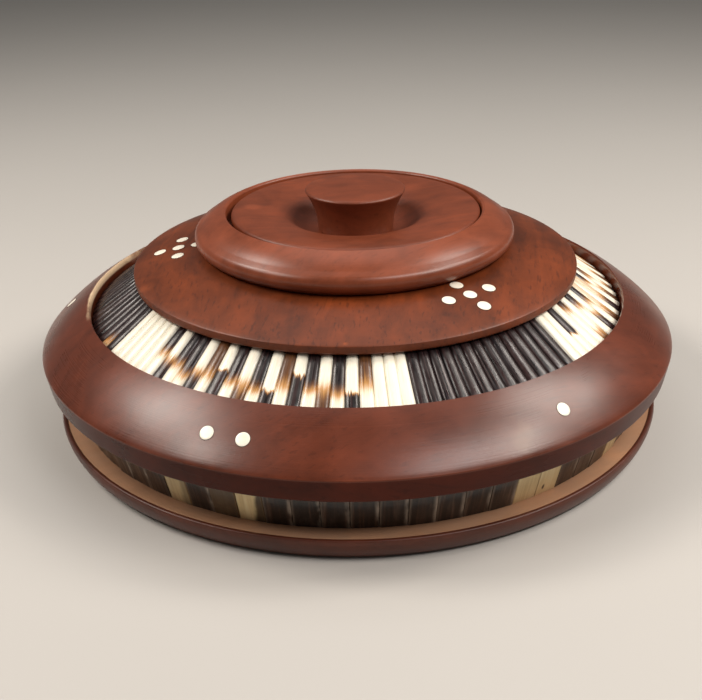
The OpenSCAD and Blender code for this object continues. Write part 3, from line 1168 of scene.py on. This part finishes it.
class BowlSetDots(bpy.types.Operator):
    """Set the bone dots into the shoulder disc and the rim"""

    bl_idname = "bowl.set_dots"
    bl_label = "Set Dots"

    def execute(self, context):
        fives = (
            ("shoulder_dots_right", 34.8),
            ("shoulder_dots_left", -88.4),
            ("shoulder_dots_back", 153.2),
        )
        groups = []
        for node, azimuth in fives:
            places = [(FIVE_RADIUS, azimuth + side * FIVE_TURN) for side in (-1, 0, 1)]
            places += [(FIVE_RADIUS + side * FIVE_REACH, azimuth) for side in (-1, 1)]
            groups.append((node, shoulder_crown(), places))
        rim_places = [(RIM_DOT_RADIUS, azimuth) for azimuth in RIM_DOT_AZIMUTHS]
        groups.append(("rim_dots", rim_crown(), rim_places))
        for node, crowned, places in groups:
            bm = bmesh.new()
            for radius, azimuth in places:
                dot(bm, crowned, radius, azimuth)
            finishes = [finish_of("bone dot"), finish_of("glue")]
            new_piece(node + "_set", bm, finishes, "bowl", [node], 40)
        return {"FINISHED"}


# ---- stage ----

WARM = (1.0, 0.92, 0.84)
# name, azimuth, elevation, distance, width, height, power, colour
LIGHTS = (
    ("left_softbox", -94, 46, 0.95, 0.3, 0.34, 4.6, WARM),
    ("left_front_softbox", -66, 44, 0.95, 0.26, 0.2, 2.0, WARM),
    ("right_softbox", 96, 45, 0.95, 0.26, 0.42, 4.2, WARM),
    ("right_front_softbox", 66, 43, 0.95, 0.3, 0.2, 3.0, WARM),
    ("front_strip", 36, 49, 1.0, 0.4, 0.14, 2.6, (1.0, 0.95, 0.92)),
    ("overhead", 180, 72, 1.1, 0.8, 0.8, 2.5, (1.0, 0.97, 0.94)),
)
LIT_POINT = (0, 0, 0.05)
LENS = 56.41
CAMERA_ELEVATION = 25.297
CAMERA_ROLL = -1.342
CAMERA_DISTANCE = 0.51172
CAMERA_TARGET = (-0.00269, 0, 0.02224)


class BowlSetStage(bpy.types.Operator):
    """Lay the floor, hang the soft lights and set the camera"""

    bl_idname = "bowl.set_stage"
    bl_label = "Set Stage"

    def execute(self, context):
        bm = bmesh.new()
        bmesh.ops.create_grid(bm, x_segments=1, y_segments=1, size=4.0)
        mesh = bpy.data.meshes.new("floor")
        bm.to_mesh(mesh)
        bm.free()
        mesh.materials.append(finish_of("floor"))
        floor = bpy.data.objects.new("floor", mesh)
        context.scene.collection.objects.link(floor)

        world = bpy.data.worlds.new("studio")
        context.scene.world = world
        world.use_nodes = True
        backdrop = world.node_tree.nodes["Background"]
        backdrop.inputs["Color"].default_value = (0.92, 0.9, 0.87, 1)
        backdrop.inputs["Strength"].default_value = 0.13

        for name, azimuth, elevation, distance, width, height, power, shade_of in LIGHTS:
            lamp = bpy.data.lights.new(name, "AREA")
            lamp.shape = "RECTANGLE"
            lamp.size, lamp.size_y = width, height
            lamp.energy = power
            lamp.color = shade_of
            a, e = math.radians(azimuth), math.radians(elevation)
            out = Vector((math.sin(a) * math.cos(e), -math.cos(a) * math.cos(e), math.sin(e)))
            light = bpy.data.objects.new(name, lamp)
            light.location = Vector(LIT_POINT) + out * distance
            light.rotation_euler = out.to_track_quat("Z", "Y").to_euler()
            context.scene.collection.objects.link(light)

        context.scene.view_settings.view_transform = "Standard"
        camera_data = bpy.data.cameras.new("camera")
        camera_data.sensor_width = 36
        camera_data.lens = LENS
        camera_data.clip_start = 0.01
        camera = bpy.data.objects.new("camera", camera_data)
        elevation, roll = math.radians(CAMERA_ELEVATION), math.radians(CAMERA_ROLL)
        back = Vector((0, -math.cos(elevation), math.sin(elevation)))
        right = Vector((1, 0, 0))
        up = Vector((0, math.sin(elevation), math.cos(elevation)))
        across = right * math.cos(roll) + up * math.sin(roll)
        upward = up * math.cos(roll) - right * math.sin(roll)
        turn = Matrix((across, upward, back)).transposed()
        place = Matrix.Translation(Vector(CAMERA_TARGET) + back * CAMERA_DISTANCE)
        camera.matrix_world = place @ turn.to_4x4()
        context.scene.collection.objects.link(camera)
        context.scene.camera = camera
        return {"FINISHED"}


class BowlPanel(bpy.types.Panel):
    """The bowl's pieces, in the order they are made"""

    bl_idname = "VIEW3D_PT_bowl"
    bl_label = "Inlaid Bowl"
    bl_space_type = "VIEW_3D"
    bl_region_type = "UI"
    bl_category = "Bowl"

    def draw(self, context):
        layout = self.layout
        for operator in OPERATORS:
            layout.operator(operator.bl_idname)
        for group in (context.scene.bowl_sizes, context.scene.bowl_colours):
            box = layout.box()
            for name in type(group).__annotations__:
                box.prop(group, name)


OPERATORS = (
    BowlSetStage, BowlTurnBase, BowlTurnVessel, BowlTurnRim, BowlTurnShoulder,
    BowlTurnCollar, BowlTurnLid, BowlLayQuills, BowlSetPlates, BowlSetDots,
)
CLASSES = (BowlSizes, BowlColours, *OPERATORS, BowlPanel)


def register():
    for cls in CLASSES:
        bpy.utils.register_class(cls)
    bpy.types.Scene.bowl_sizes = bpy.props.PointerProperty(type=BowlSizes)
    bpy.types.Scene.bowl_colours = bpy.props.PointerProperty(type=BowlColours)


def unregister():
    del bpy.types.Scene.bowl_colours
    del bpy.types.Scene.bowl_sizes
    for cls in reversed(CLASSES):
        bpy.utils.unregister_class(cls)


def main():
    register()
    bpy.ops.bowl.set_stage()
    bpy.ops.bowl.turn_base()
    bpy.ops.bowl.turn_vessel()
    bpy.ops.bowl.turn_rim()
    bpy.ops.bowl.turn_shoulder()
    bpy.ops.bowl.turn_collar()
    bpy.ops.bowl.turn_lid()
    bpy.ops.bowl.lay_quills()
    bpy.ops.bowl.set_plates()
    bpy.ops.bowl.set_dots()


if __name__ == "__main__":
    main()
